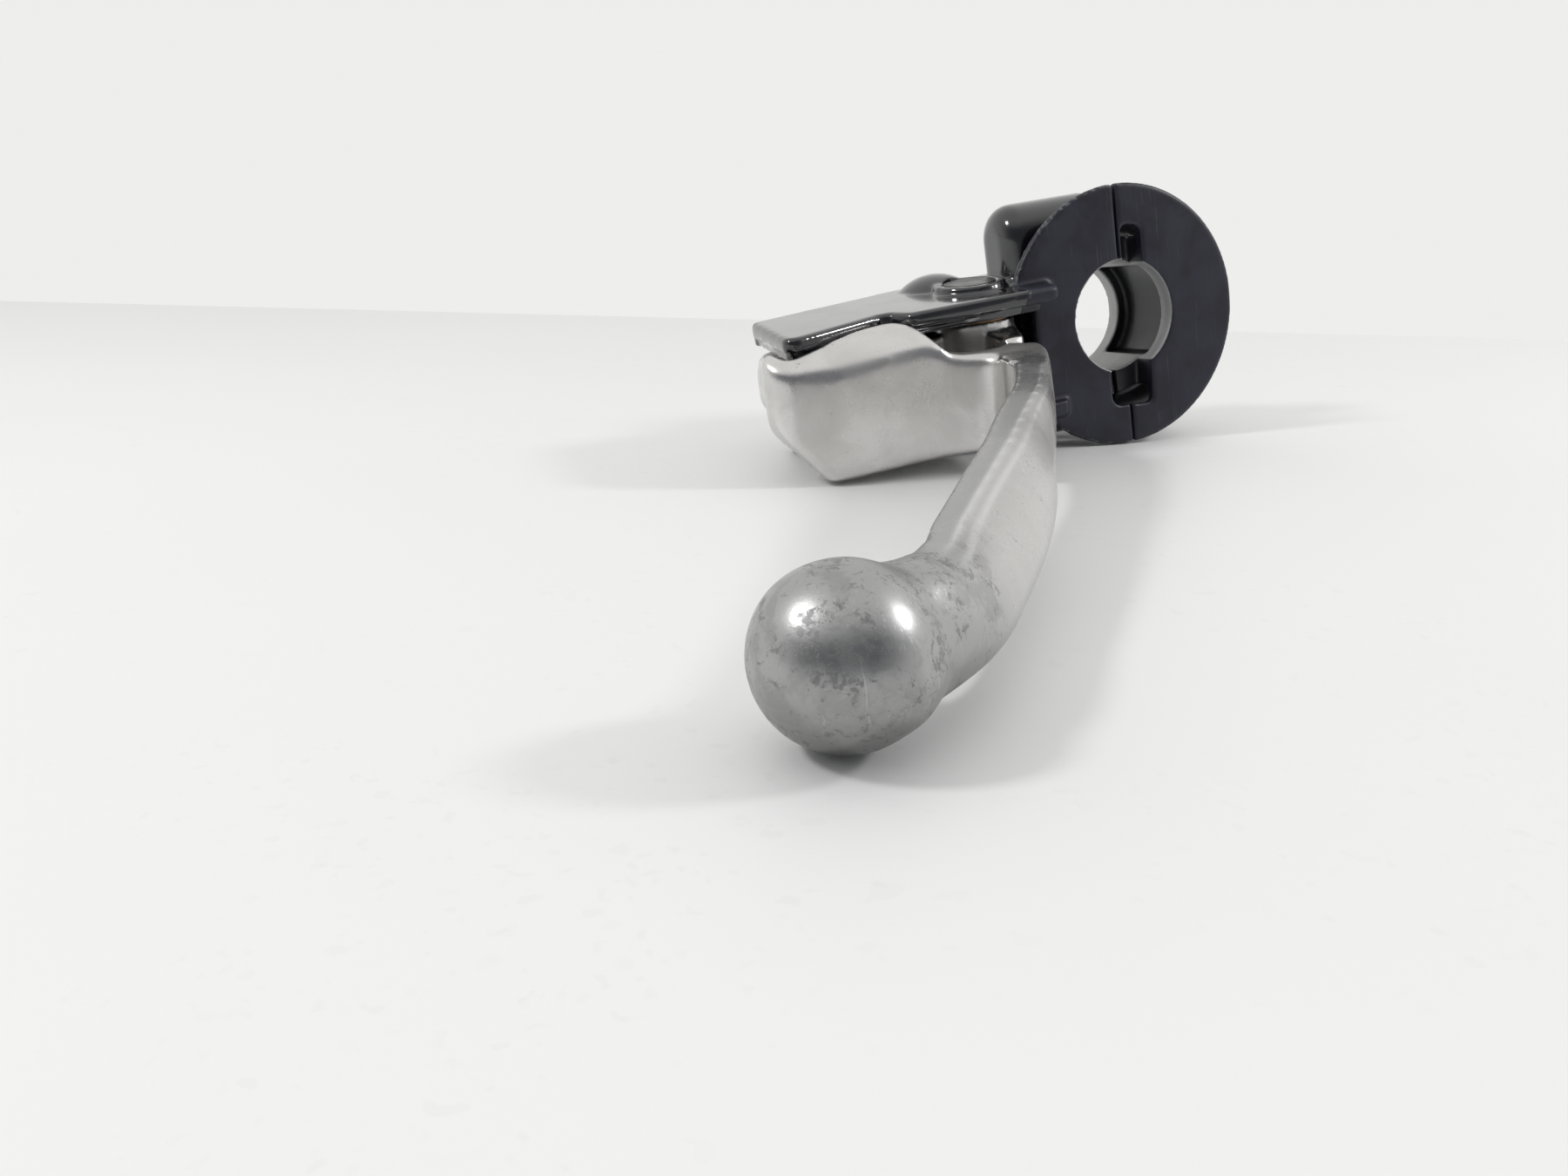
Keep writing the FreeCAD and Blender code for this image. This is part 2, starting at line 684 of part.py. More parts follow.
def clutch_lever():
    hub = upright_rod(HUB_RADIUS, PIVOT, HUB_BOTTOM, HUB_TOP)
    # the sphere's own pole points back into the blade, where the join swallows it
    into_blade = at(-0.63, -0.77, 0)
    ball = Part.makeSphere(BALL_RADIUS, at(BALL_OUT, BALL_FORWARD, BALL_UP), into_blade)
    root = lever_core().fuse(lever_wall()).cut(saddle_pocket())
    body = join([hub, root, lever_blade(), ball])
    thrust_face = ring(BUSH_FLANGE_RADIUS + 0.4, 1.0, PIVOT, -FAR, HUB_BOTTOM)
    body = body.cut(thrust_face)
    body = body.cut(ring(BUSH_FLANGE_RADIUS + 0.4, 1.0, PIVOT, HUB_TOP, FAR))
    body = body.cut(upright_rod(BUSH_RADIUS, PIVOT, -FAR, FAR))
    body = body.cut(upright_rod(ANCHOR_BUSH_RADIUS, anchor_centre(), -FAR, FAR))
    return body.cut(cable_slot())


def save(shape, node):
    solids = shape.Solids
    print(node, len(solids), "solid(s)", shape.isValid(), round(shape.Volume, 1), "mm3")
    kept = solids[0] if len(solids) == 1 else Part.makeCompound(solids)
    kept.exportStep(os.path.join("parts", node + ".step"))


def main():
    os.makedirs("parts", exist_ok=True)
    save(bracket(), "bracket")
    save(to_bar_frame(clamp_cap()), "clamp_cap")
    screws = [clamp_screw(centre) for centre in screw_centres()]
    save(to_bar_frame(Part.makeCompound(screws)), "clamp_screws")
    washers = [clamp_washer(centre) for centre in screw_centres()]
    save(to_bar_frame(Part.makeCompound(washers)), "clamp_washers")
    lever_side = {
        "pivot_pin": pivot_pin(),
        "pivot_clip": pivot_clip(),
        "thrust_washer": thrust_washer(),
        "pivot_bush_upper": flanged_bush(HUB_TOP + BUSH_FLANGE, -1),
        "pivot_bush_lower": flanged_bush(HUB_BOTTOM - BUSH_FLANGE, 1),
        "clutch_lever": clutch_lever(),
        "cable_anchor": cable_anchor(),
        "anchor_bush_upper": anchor_bush(BODY_TOP - 0.2 - ANCHOR_BUSH_LENGTH),
        "anchor_bush_lower": anchor_bush(BODY_BOTTOM + 0.2),
    }
    for node, shape in lever_side.items():
        save(to_lever_frame(shape), node)


main()
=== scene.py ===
# %% [markdown]
# A left-hand clutch lever and its bar perch, laid on a pale bench.
# The lever is a polished aluminium casting with a ball end. The perch is a black
# painted casting that clamps round the handlebar, with two ears that hold the lever.
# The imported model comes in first, as a fixed frame. Every piece below is placed by it,
# so nothing has to be fitted by eye, and the joints still work.

import bmesh
import bpy
import json
import math
from mathutils import Matrix, Vector


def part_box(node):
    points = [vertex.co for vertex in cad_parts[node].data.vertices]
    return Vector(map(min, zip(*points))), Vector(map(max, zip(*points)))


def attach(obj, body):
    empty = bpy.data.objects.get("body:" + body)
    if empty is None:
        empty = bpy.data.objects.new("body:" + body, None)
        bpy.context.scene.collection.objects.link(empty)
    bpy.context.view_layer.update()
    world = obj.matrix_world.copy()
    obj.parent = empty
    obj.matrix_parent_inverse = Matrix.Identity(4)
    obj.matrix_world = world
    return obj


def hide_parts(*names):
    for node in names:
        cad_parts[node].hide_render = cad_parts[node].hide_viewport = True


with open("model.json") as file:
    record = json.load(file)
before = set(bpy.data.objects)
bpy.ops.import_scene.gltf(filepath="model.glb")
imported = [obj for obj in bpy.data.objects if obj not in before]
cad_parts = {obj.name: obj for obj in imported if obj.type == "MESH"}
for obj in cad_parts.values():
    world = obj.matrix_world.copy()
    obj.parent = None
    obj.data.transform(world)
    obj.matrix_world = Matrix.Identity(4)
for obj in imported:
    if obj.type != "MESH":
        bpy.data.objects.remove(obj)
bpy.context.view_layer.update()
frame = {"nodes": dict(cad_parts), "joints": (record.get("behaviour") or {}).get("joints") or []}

# %% [markdown]
# The camera stands low and close, in front of the ball end, and looks along the blade to
# the clamp. A wide lens this close makes the ball large and the clamp small, so the lens
# and the distance both have to be right. The three unit vectors say which way the
# camera's right, top and back point.

# %% Camera
CAMERA_PLACE = Vector((-0.16939, -0.27124, 0.03034))
CAMERA_RIGHT = Vector((0.93242, -0.32533, -0.15736))
CAMERA_TOP = Vector((0.23161, 0.20371, 0.95125))
CAMERA_BACK = CAMERA_RIGHT.cross(CAMERA_TOP).normalized()
CAMERA_LENS = 29.12


def seen_from_camera(right, top, back):
    """A point given by its distances to the right, above and behind the camera."""
    return CAMERA_PLACE + CAMERA_RIGHT * right + CAMERA_TOP * top + CAMERA_BACK * back


def facing(right, top, back, place):
    """A matrix whose three axes point along the given vectors."""
    turn = Matrix((right, top, back)).transposed().to_4x4()
    return Matrix.Translation(place) @ turn


camera_data = bpy.data.cameras.new("camera")
camera_data.sensor_width = 36.0
camera_data.lens = CAMERA_LENS
camera_data.clip_start = 0.01
camera_data.clip_end = 20.0
camera = bpy.data.objects.new("camera", camera_data)
camera.matrix_world = facing(CAMERA_RIGHT, CAMERA_TOP, CAMERA_BACK, CAMERA_PLACE)
bpy.context.collection.objects.link(camera)
bpy.context.scene.camera = camera
print("camera at", CAMERA_PLACE[:], "lens", CAMERA_LENS)

# %% [markdown]
# Materials are built from a few small helpers. Each one adds a node to a tree and gives
# back the socket that carries its result, so that a finish reads like a short recipe.

# %% Node helpers
def plug(tree, socket, value):
    """Link a socket to another, or set its value."""
    if isinstance(value, bpy.types.NodeSocket):
        tree.links.new(value, socket)
    else:
        socket.default_value = value


def node(tree, kind, inputs=None, **settings):
    """Add a shader node, with its settings and inputs."""
    made = tree.nodes.new("ShaderNode" + kind)
    for key, value in settings.items():
        setattr(made, key, value)
    for key, value in (inputs or {}).items():
        plug(tree, made.inputs[key], value)
    return made


def calc(tree, operation, first, second=0.0, clamp=False):
    """One step of arithmetic."""
    made = node(tree, "Math", {0: first, 1: second}, operation=operation, use_clamp=clamp)
    return made.outputs[0]


def fade(tree, value, start, end):
    """Goes smoothly from 0 at start to 1 at end."""
    ends = {"Value": value, "From Min": start, "From Max": end}
    return node(tree, "MapRange", ends, interpolation_type="SMOOTHSTEP").outputs["Result"]


def between(tree, value, low, high):
    """Spreads a mask from 0 to 1 over the range low to high."""
    ends = {"Value": value, "To Min": low, "To Max": high}
    return node(tree, "MapRange", ends).outputs["Result"]


def noise(tree, vector, scale, detail=3.0, roughness=0.55, distortion=0.0):
    """Cloudy noise; a scale of 1000 makes blobs about a millimetre across."""
    settings = {
        "Vector": vector,
        "Scale": scale,
        "Detail": detail,
        "Roughness": roughness,
        "Distortion": distortion,
    }
    return node(tree, "TexNoise", settings).outputs[0]


def stretch(tree, vector, scale, turn=(0.0, 0.0, 0.0)):
    """The same coordinates, turned and stretched."""
    return node(tree, "Mapping", {"Vector": vector, "Rotation": turn, "Scale": scale}).outputs[0]


def tint(tree, mask, first, second):
    """The first colour where the mask is 0, the second where it is 1."""
    made = node(tree, "Mix", {0: mask, 6: first, 7: second}, data_type="RGBA")
    return made.outputs[2]


def bump(tree, height, distance, strength=1.0):
    """Turns a height into a tilted surface normal."""
    made = node(tree, "Bump", {"Height": height, "Distance": distance, "Strength": strength})
    return made.outputs["Normal"]


def grey(level, warm=0.0):
    """A grey, warmer or cooler by a little."""
    return (level * (1 + warm), level, level * (1 - warm), 1.0)


print("a mid grey, a little warm:", grey(0.5, 0.02))


# %% [markdown]
# Some effects turn up on more than one finish: fine casting grain, long hairline
# scratches, blotches of oxide, and soft smudges from handling. Each is one shader
# node group, built once, and every material uses it with its own values.

# %% Shared effect groups
def start_group(name, inputs, outputs):
    """An empty node group with named sockets. Inputs are (name, first value)."""
    group = bpy.data.node_groups.new(name, "ShaderNodeTree")
    for label, value in inputs:
        kind = "NodeSocketVector" if label == "Vector" else "NodeSocketFloat"
        socket = group.interface.new_socket(label, in_out="INPUT", socket_type=kind)
        if value is not None:
            socket.default_value = value
    for label in outputs:
        group.interface.new_socket(label, in_out="OUTPUT", socket_type="NodeSocketFloat")
    given = group.nodes.new("NodeGroupInput").outputs
    result = group.nodes.new("NodeGroupOutput").inputs
    return group, given, result


def use(tree, group, **inputs):
    """Places a group in a material and gives back its outputs."""
    made = tree.nodes.new("ShaderNodeGroup")
    made.node_tree = group
    for key, value in inputs.items():
        plug(tree, made.inputs[key], value)
    return made.outputs


def make_grain():
    """Fine sand-cast texture with a few pits."""
    group, given, result = start_group(
        "casting_grain", [("Vector", None), ("Size", 2500.0)], ["Height"]
    )
    coarse_size = calc(group, "MULTIPLY", given["Size"], 0.23)
    pit_size = calc(group, "MULTIPLY", given["Size"], 0.42)
    fine = noise(group, given["Vector"], given["Size"], detail=4.0, roughness=0.6)
    coarse = noise(group, given["Vector"], coarse_size, detail=2.0)
    pits = fade(group, noise(group, given["Vector"], pit_size), 0.36, 0.28)
    both = calc(group, "ADD", calc(group, "MULTIPLY", fine, 0.5), calc(group, "MULTIPLY", coarse, 0.5))
    plug(group, result["Height"], calc(group, "SUBTRACT", both, calc(group, "MULTIPLY", pits, 0.35)))
    return group


SCRATCH_TURNS = (
    ((0.3, 0.2, 0.5), 2100.0),
    ((1.1, 0.7, 2.1), 2900.0),
    ((0.2, 1.4, 1.2), 1700.0),
)


def make_scratches():
    """Thin straight marks in three directions."""
    group, given, result = start_group(
        "hairline_scratches", [("Vector", None), ("Amount", 0.5)], ["Mask"]
    )
    total = 0.0
    for turn, size in SCRATCH_TURNS:
        along = stretch(group, given["Vector"], (size, size * 0.9, size * 0.025), turn)
        lines = fade(group, noise(group, along, 1.0, detail=1.0), 0.66, 0.72)
        clouds = stretch(group, given["Vector"], (90.0, 90.0, 90.0), turn)
        patch = fade(group, noise(group, clouds, 1.0), 0.48, 0.66)
        total = calc(group, "ADD", total, calc(group, "MULTIPLY", lines, patch))
    plug(group, result["Mask"], calc(group, "MULTIPLY", total, given["Amount"], clamp=True))
    return group


def make_oxide():
    """Irregular dull islands, and small specks between them."""
    group, given, result = start_group(
        "oxide_blotches", [("Vector", None), ("Amount", 0.5), ("Size", 420.0)], ["Islands", "Specks"]
    )
    worst = between(group, given["Amount"], 0.70, 0.52)
    end = calc(group, "ADD", worst, 0.075)
    region_size = calc(group, "MULTIPLY", given["Size"], 0.22)
    speck_size = calc(group, "MULTIPLY", given["Size"], 3.1)
    region = noise(group, given["Vector"], region_size, detail=2.0)
    shape = noise(group, given["Vector"], given["Size"], detail=6.0, roughness=0.68, distortion=0.6)
    shape_share = calc(group, "MULTIPLY", shape, 0.62)
    region_share = calc(group, "MULTIPLY", region, 0.38)
    mixed = calc(group, "ADD", shape_share, region_share)
    plug(group, result["Islands"], fade(group, mixed, worst, end))
    dots = noise(group, given["Vector"], speck_size, detail=3.0, roughness=0.6)
    dark_dots = fade(group, dots, 0.62, 0.68)
    spread = calc(group, "MULTIPLY", fade(group, region, 0.42, 0.6), given["Amount"])
    plug(group, result["Specks"], calc(group, "MULTIPLY", dark_dots, spread, clamp=True))
    return group


def make_smudges():
    """Soft broad clouds, from handling and uneven polish."""
    group, given, result = start_group("handling_smudges", [("Vector", None), ("Size", 90.0)], ["Mask"])
    cloud = noise(group, given["Vector"], given["Size"], detail=4.0, roughness=0.6, distortion=0.4)
    plug(group, result["Mask"], fade(group, cloud, 0.35, 0.68))
    return group


GRAIN = make_grain()
SCRATCHES = make_scratches()
OXIDE = make_oxide()
SMUDGES = make_smudges()
print("groups:", [group.name for group in bpy.data.node_groups])


# %% [markdown]
# Every finish starts the same way: a material with one Principled shader, and the
# object's own coordinates to lay patterns on. Numbers that are the same all over the
# surface go straight on to the shader.

# %% Start and assign a finish
def start_finish(name, **constants):
    """A material, its tree, its shader and its object coordinates."""
    material = bpy.data.materials.new(name)
    material.use_nodes = True
    tree = material.node_tree
    shader = tree.nodes["Principled BSDF"]
    for key, value in constants.items():
        shader.inputs[key.replace("_", " ")].default_value = value
    place = node(tree, "TexCoord").outputs["Object"]
    return material, tree, shader.inputs, place


def finish_piece(piece, material):
    """Give a piece one material."""
    piece.data.materials.clear()
    piece.data.materials.append(material)


print("node pieces to finish:", len(frame["nodes"]))


# %% [markdown]
# The lever is bare aluminium that was polished when new. The ball and the blade have
# gone dull and spotted where hands hold them; the root between the ears is brighter.
# The distance from the ball drives how far the oxide has gone. Two attributes, which
# the lever's mesh gets further down, mark where a painted highlight brightens the ridges
# along the blade and where painted shade darkens the flat face ahead of them. The
# underside of the ball is darkened with painted shade too.

# %% Lever finish
BALL_RADIUS = 0.0115
lever_low, lever_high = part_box("clutch_lever")
ball_centre = lever_low + Vector((BALL_RADIUS, BALL_RADIUS, BALL_RADIUS))
print("ball centre", ball_centre[:])


def make_lever_finish():
    material, tree, shader, place = start_finish("polished_aluminium_worn")
    # How near the ball, and how far down the blade, a place is.
    away = node(tree, "VectorMath", {0: place, 1: ball_centre}, operation="DISTANCE").outputs["Value"]
    near_ball = fade(tree, away, 0.036, 0.010)
    on_blade = fade(tree, away, 0.120, 0.030)
    height = node(tree, "SeparateXYZ", {0: place}).outputs["Z"]
    low_on_ball = fade(tree, height, ball_centre.z + 0.003, ball_centre.z - 0.009)
    # The lower part of the ball, which gets painted shade.
    painted_shade_under_ball = calc(tree, "MULTIPLY", low_on_ball, near_ball)
    # Wear and dirt.
    blade_age = between(tree, on_blade, 0.34, 0.50)
    age = calc(tree, "ADD", calc(tree, "MULTIPLY", near_ball, 0.62), blade_age)
    oxide = use(tree, OXIDE, Vector=place, Amount=age, Size=880.0)
    wide_place = stretch(tree, place, (0.42, 0.42, 0.42))
    haze = use(tree, OXIDE, Vector=wide_place, Amount=age, Size=520.0)["Islands"]
    smudge = use(tree, SMUDGES, Vector=place, Size=85.0)["Mask"]
    scratch = use(tree, SCRATCHES, Vector=place, Amount=0.6)["Mask"]
    grain = use(tree, GRAIN, Vector=place, Size=2600.0)["Height"]
    # Masks for the painted highlight on the ridges and the painted shade on the face ahead of them.
    ridge = node(tree, "Attribute", attribute_name="ridge_highlight").outputs["Fac"]
    ahead = node(tree, "Attribute", attribute_name="shade_ahead_of_ridge").outputs["Fac"]
    # Colour, from the clean metal to the dirtiest spots, with painted shade under the ball and on the
    # flat face, and a painted highlight on the ridges.
    bright = tint(tree, smudge, grey(0.70, 0.015), grey(0.62, 0.02))
    handled = tint(tree, calc(tree, "MULTIPLY", on_blade, 0.75), bright, grey(0.54, 0.015))
    # Painted shade: the flat top face ahead of the first ridge is darkened.
    face_shaded = tint(tree, calc(tree, "MULTIPLY", ahead, 0.85), handled, grey(0.37, 0.0))
    dulled = tint(tree, near_ball, face_shaded, grey(0.41, 0.0))
    # Painted shade: the underside of the ball is darkened.
    shaded = tint(tree, calc(tree, "MULTIPLY", painted_shade_under_ball, 0.75), dulled, grey(0.23, 0.01))
    hazed = tint(tree, calc(tree, "MULTIPLY", haze, 0.42), shaded, grey(0.27, 0.01))
    islands = calc(tree, "MULTIPLY", oxide["Islands"], 0.70)
    spotted = tint(tree, islands, hazed, grey(0.20, 0.0))
    specks = calc(tree, "MULTIPLY", oxide["Specks"], 0.9)
    specked = tint(tree, specks, spotted, grey(0.16, 0.02))
    marked = tint(tree, calc(tree, "MULTIPLY", scratch, 0.35), specked, grey(0.85))
    # Painted highlight: the two ridges are brightened towards a light grey.
    ridge_highlighted = tint(tree, calc(tree, "MULTIPLY", ridge, 0.7), marked, grey(0.80))
    plug(tree, shader["Base Color"], ridge_highlighted)
    plug(tree, shader["Metallic"], between(tree, oxide["Islands"], 1.0, 0.82))
    # Polish: the spots and the ball are duller.
    ball_rough = calc(tree, "MULTIPLY", near_ball, 0.05)
    base_rough = calc(tree, "ADD", between(tree, smudge, 0.25, 0.34), ball_rough)
    spot_rough = calc(tree, "MULTIPLY", oxide["Islands"], 0.16)
    plug(tree, shader["Roughness"], calc(tree, "ADD", base_rough, spot_rough))
    # Relief: grain, pits in the specks, and scratches.
    pitted = calc(tree, "SUBTRACT", grain, calc(tree, "MULTIPLY", oxide["Specks"], 0.9))
    worn = calc(tree, "SUBTRACT", pitted, calc(tree, "MULTIPLY", scratch, 0.5))
    plug(tree, shader["Normal"], bump(tree, worn, 0.00003, 0.55))
    return material


lever_finish = make_lever_finish()

# %% [markdown]
# The perch is painted. The ears and the screw barrels are glossy, with a clear coat, and
# the flange face is a flatter, bluish black, rubbed by the switch housing that bolts
# against it. The bar bore was machined after painting, so it is bare metal. One group
# works out these zones from the distance to the bar's axis.

# %% Perch zones
def make_zones():
    group, given, result = start_group("perch_zones", [("Vector", None)], ["Bore", "Flange", "Rim"])
    axes = node(group, "SeparateXYZ", {0: given["Vector"]}).outputs
    squares = [calc(group, "MULTIPLY", axes[label], axes[label]) for label in ("X", "Z")]
    radius = calc(group, "SQRT", calc(group, "ADD", *squares))
    plug(group, result["Bore"], fade(group, radius, 0.01310, 0.01288))
    behind = fade(group, axes["Y"], -0.0106, -0.0110)
    inside = fade(group, radius, 0.0302, 0.0299)
    flange = calc(group, "MULTIPLY", behind, inside)
    plug(group, result["Flange"], flange)
    plug(group, result["Rim"], calc(group, "MULTIPLY", flange, fade(group, radius, 0.0289, 0.0293)))
    return group


ZONES = make_zones()


def make_paint(name, gloss_rough, satin_rough, coat):
    """Black paint over a casting, with the bore bare."""
    material, tree, shader, place = start_finish(
        name, Specular_IOR_Level=0.5, Coat_IOR=1.6, Coat_Roughness=0.07
    )
    zone = use(tree, ZONES, Vector=place)
    smudge = use(tree, SMUDGES, Vector=place, Size=110.0)["Mask"]
    scratch = use(tree, SCRATCHES, Vector=place, Amount=0.8)["Mask"]
    grain = use(tree, GRAIN, Vector=place, Size=1500.0)["Height"]
    peel = noise(tree, place, 420.0, detail=2.0)
    # Colour: two blacks, rubbed and chipped on the flange, bare metal in the bore.
    gloss = tint(tree, smudge, (0.006, 0.006, 0.009, 1), (0.010, 0.010, 0.014, 1))
    satin = tint(tree, smudge, (0.006, 0.006, 0.014, 1), (0.014, 0.014, 0.030, 1))
    paint = tint(tree, zone["Flange"], gloss, satin)
    flange_share = calc(tree, "MULTIPLY", zone["Flange"], 0.10)
    worn = tint(tree, calc(tree, "MULTIPLY", scratch, flange_share), paint, grey(0.30))
    chips = fade(tree, noise(tree, place, 700.0, detail=4.0), 0.50, 0.60)
    rim_chips = calc(tree, "MULTIPLY", zone["Rim"], chips)
    chipped = tint(tree, calc(tree, "MULTIPLY", rim_chips, 0.35), worn, grey(0.28))
    turning_marks = stretch(tree, place, (200.0, 6000.0, 200.0))
    turned = noise(tree, turning_marks, 1.0, detail=2.0)
    metal = tint(tree, turned, grey(0.34), grey(0.52))
    plug(tree, shader["Base Color"], tint(tree, zone["Bore"], chipped, metal))
    plug(tree, shader["Metallic"], zone["Bore"])
    # Shine: the flange has no clear coat.
    plug(tree, shader["Coat Weight"], between(tree, zone["Flange"], coat, 0.0))
    rough = between(tree, zone["Flange"], gloss_rough, satin_rough)
    clouded = calc(tree, "ADD", rough, calc(tree, "MULTIPLY", smudge, 0.08))
    bare = calc(tree, "MULTIPLY", zone["Bore"], 0.30)
    plug(tree, shader["Roughness"], calc(tree, "ADD", clouded, bare, clamp=True))
    # Relief: grain on the flange, and the slow waves of thick paint elsewhere.
    flat = calc(tree, "MULTIPLY", grain, between(tree, zone["Flange"], 0.08, 0.7))
    height = calc(tree, "ADD", flat, calc(tree, "MULTIPLY", peel, 0.6))
    plug(tree, shader["Normal"], bump(tree, height, 0.00003, 0.5))
    return material


gloss_paint = make_paint("black_gloss_paint_worn", 0.13, 0.42, 0.8)
satin_paint = make_paint("black_satin_paint_worn", 0.30, 0.42, 0.1)
print("paints:", gloss_paint.name, satin_paint.name)


# %% [markdown]
# The small hardware is mostly steel. One recipe serves all of it: a base colour with
# clouds, light wear in scratches, and fine turning marks. Bronze and nylon use the
# same recipe with other values.

# %% Hardware finishes
def make_hardware(name, dark, light, metallic, rough, wear):
    material, tree, shader, place = start_finish(name, Metallic=metallic)
    smudge = use(tree, SMUDGES, Vector=place, Size=260.0)["Mask"]
    scratch = use(tree, SCRATCHES, Vector=place, Amount=wear)["Mask"]
    grain = use(tree, GRAIN, Vector=place, Size=4200.0)["Height"]
    colour = tint(tree, smudge, dark, light)
    worn = tuple(min(1.0, channel * 1.6) for channel in light[:3]) + (1.0,)
    plug(tree, shader["Base Color"], tint(tree, scratch, colour, worn))
    plug(tree, shader["Roughness"], between(tree, smudge, rough, rough + 0.12))
    height = calc(tree, "SUBTRACT", grain, calc(tree, "MULTIPLY", scratch, 0.6))
    plug(tree, shader["Normal"], bump(tree, height, 0.00002, 0.5))
    return material


screw_steel = make_hardware("black_oxide_steel", grey(0.020), grey(0.042), 0.85, 0.34, 0.6)
pin_steel = make_hardware("blacked_pin_steel", grey(0.016), grey(0.035), 0.8, 0.26, 0.5)
spring_steel = make_hardware("spring_steel", grey(0.36, -0.02), grey(0.50, -0.02), 1.0, 0.28, 0.4)
zinc_steel = make_hardware("zinc_plated_steel", grey(0.48, -0.03), grey(0.62, 0.02), 1.0, 0.30, 0.4)
bronze = make_hardware("sintered_bronze", (0.36, 0.22, 0.10, 1), (0.52, 0.34, 0.17, 1), 1.0, 0.42, 0.3)
nylon = make_hardware("white_nylon", (0.62, 0.61, 0.56, 1), (0.74, 0.73, 0.68, 1), 0.0, 0.42, 0.1)

HARDWARE = {
    "clamp_screws": screw_steel,
    "clamp_washers": screw_steel,
    "pivot_pin": pin_steel,
    "pivot_clip": spring_steel,
    "thrust_washer": spring_steel,
    "pivot_bush_upper": bronze,
    "pivot_bush_lower": bronze,
    "cable_anchor": zinc_steel,
    "anchor_bush_upper": nylon,
    "anchor_bush_lower": nylon,
}
for name, material in HARDWARE.items():
    finish_piece(frame["nodes"][name], material)
print("hardware finished:", len(HARDWARE))

# %% [markdown]
# The castings have soft corners everywhere, which come from the mould, the paint and
# the polishing wheel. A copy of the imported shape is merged, rebuilt as an even skin of
# small squares by a voxel remesh, and then relaxed. The more rounds a place gets, the
# rounder its corners come out, while flat faces stay flat. Zones that have to stay true,
# such as a bore, are relaxed least.

# %% Soft-cornered castings
def merged_copy(node_name, name):
    """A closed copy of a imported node, in the same place."""
    shape = bmesh.new()
    shape.from_mesh(frame["nodes"][node_name].data)
    bmesh.ops.remove_doubles(shape, verts=shape.verts, dist=0.000002)
    bmesh.ops.recalc_face_normals(shape, faces=shape.faces)
    data = bpy.data.meshes.new(name)
    shape.to_mesh(data)
    shape.free()
    piece = bpy.data.objects.new(name, data)
    bpy.context.collection.objects.link(piece)
    return piece


def even_skin(piece, voxel):
    """Rebuild a piece's surface from small squares of one size."""
    remesh = piece.modifiers.new("even_skin", "REMESH")
    remesh.mode = "VOXEL"
    remesh.voxel_size = voxel
    remesh.adaptivity = 0.0
    evaluated = piece.evaluated_get(bpy.context.evaluated_depsgraph_get())
    rebuilt = bpy.data.meshes.new_from_object(evaluated)
    piece.modifiers.clear()
    piece.data = rebuilt


def relax(piece, rounds_at):
    """Smooth each vertex as many times as its place asks for."""
    shape = bmesh.new()
    shape.from_mesh(piece.data)
    rounds = {vertex: rounds_at(vertex.co) for vertex in shape.verts}
    for done in range(max(rounds.values())):
        moving = [vertex for vertex in shape.verts if rounds[vertex] > done]
        bmesh.ops.smooth_vert(
            shape, verts=moving, factor=0.5, use_axis_x=True, use_axis_y=True, use_axis_z=True
        )
    shape.to_mesh(piece.data)
    shape.free()
    piece.data.shade_smooth()


def cast_piece(node_name, name, body, material, voxel, rounds_at, reshape=None):
    """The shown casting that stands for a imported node."""
    piece = merged_copy(node_name, name)
    even_skin(piece, voxel)
    if reshape:
        reshape(piece)
    relax(piece, rounds_at)
    finish_piece(piece, material)
    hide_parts(node_name)
    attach(piece, body)
    print(name, len(piece.data.polygons), "squares")
    return piece


# %% [markdown]
# The lever needs a different softness in each place. The hub and the boss that holds the
# cable anchor keep their size. The broad base ahead of the blade is polished very round.
# The blade keeps its edges. The hollow where the ball meets the blade is drawn out to a
# line that touches the ball, and then relaxed until no crease is left.

# %% Lever zones
def joint_place(name):
    """Where a joint's axis passes, in metres."""
    joint = next(joint for joint in frame["joints"] if joint["name"] == name)
    return Vector(joint["pos_m"])


HUB_REACH = 0.0106
ANCHOR_BOSS_REACH = 0.0065
PIVOT_PLACE = joint_place("lever_pull")
ANCHOR_PLACE = joint_place("anchor_swivel")
PIVOT_AXIS = Vector(next(joint for joint in frame["joints"] if joint["name"] == "lever_pull")["axis"])


def clear_of_bores(place):
    """How far a place is outside the hub and the cable anchor's boss."""
    from_pivot = (place - PIVOT_PLACE).cross(PIVOT_AXIS).length
    from_anchor = (place - ANCHOR_PLACE).cross(PIVOT_AXIS).length
    return max(0.0, min(from_pivot - HUB_REACH, from_anchor - ANCHOR_BOSS_REACH))


FLANGE_FACE = 0.0131
BASE_END = 0.042
BLADE_ROOT_OUT = 0.022
BLADE_ROOT_FORWARD = 0.0418
BLADE_FORWARD_PER_OUT = 0.62
BLADE_CLEARANCE = 0.0025


def in_front_of_blade(place):
    """True on the broad base that stands ahead of the blade's root."""
    out = -place.y - FLANGE_FACE
    blade_front = BLADE_ROOT_FORWARD + (out - BLADE_ROOT_OUT) * BLADE_FORWARD_PER_OUT
    return out < BASE_END and -place.x > blade_front + BLADE_CLEARANCE


TOWARD_BLADE = Vector((0.77, 0.63, 0.0)).normalized()
NECK_END = 0.030
NECK_FADE = 0.012
BORE_ROUNDS = 3
BALL_ROUNDS = 6
NECK_ROUNDS = 64
BLADE_ROUNDS = 5
BASE_ROUNDS = 55
BASE_FADE = 0.008


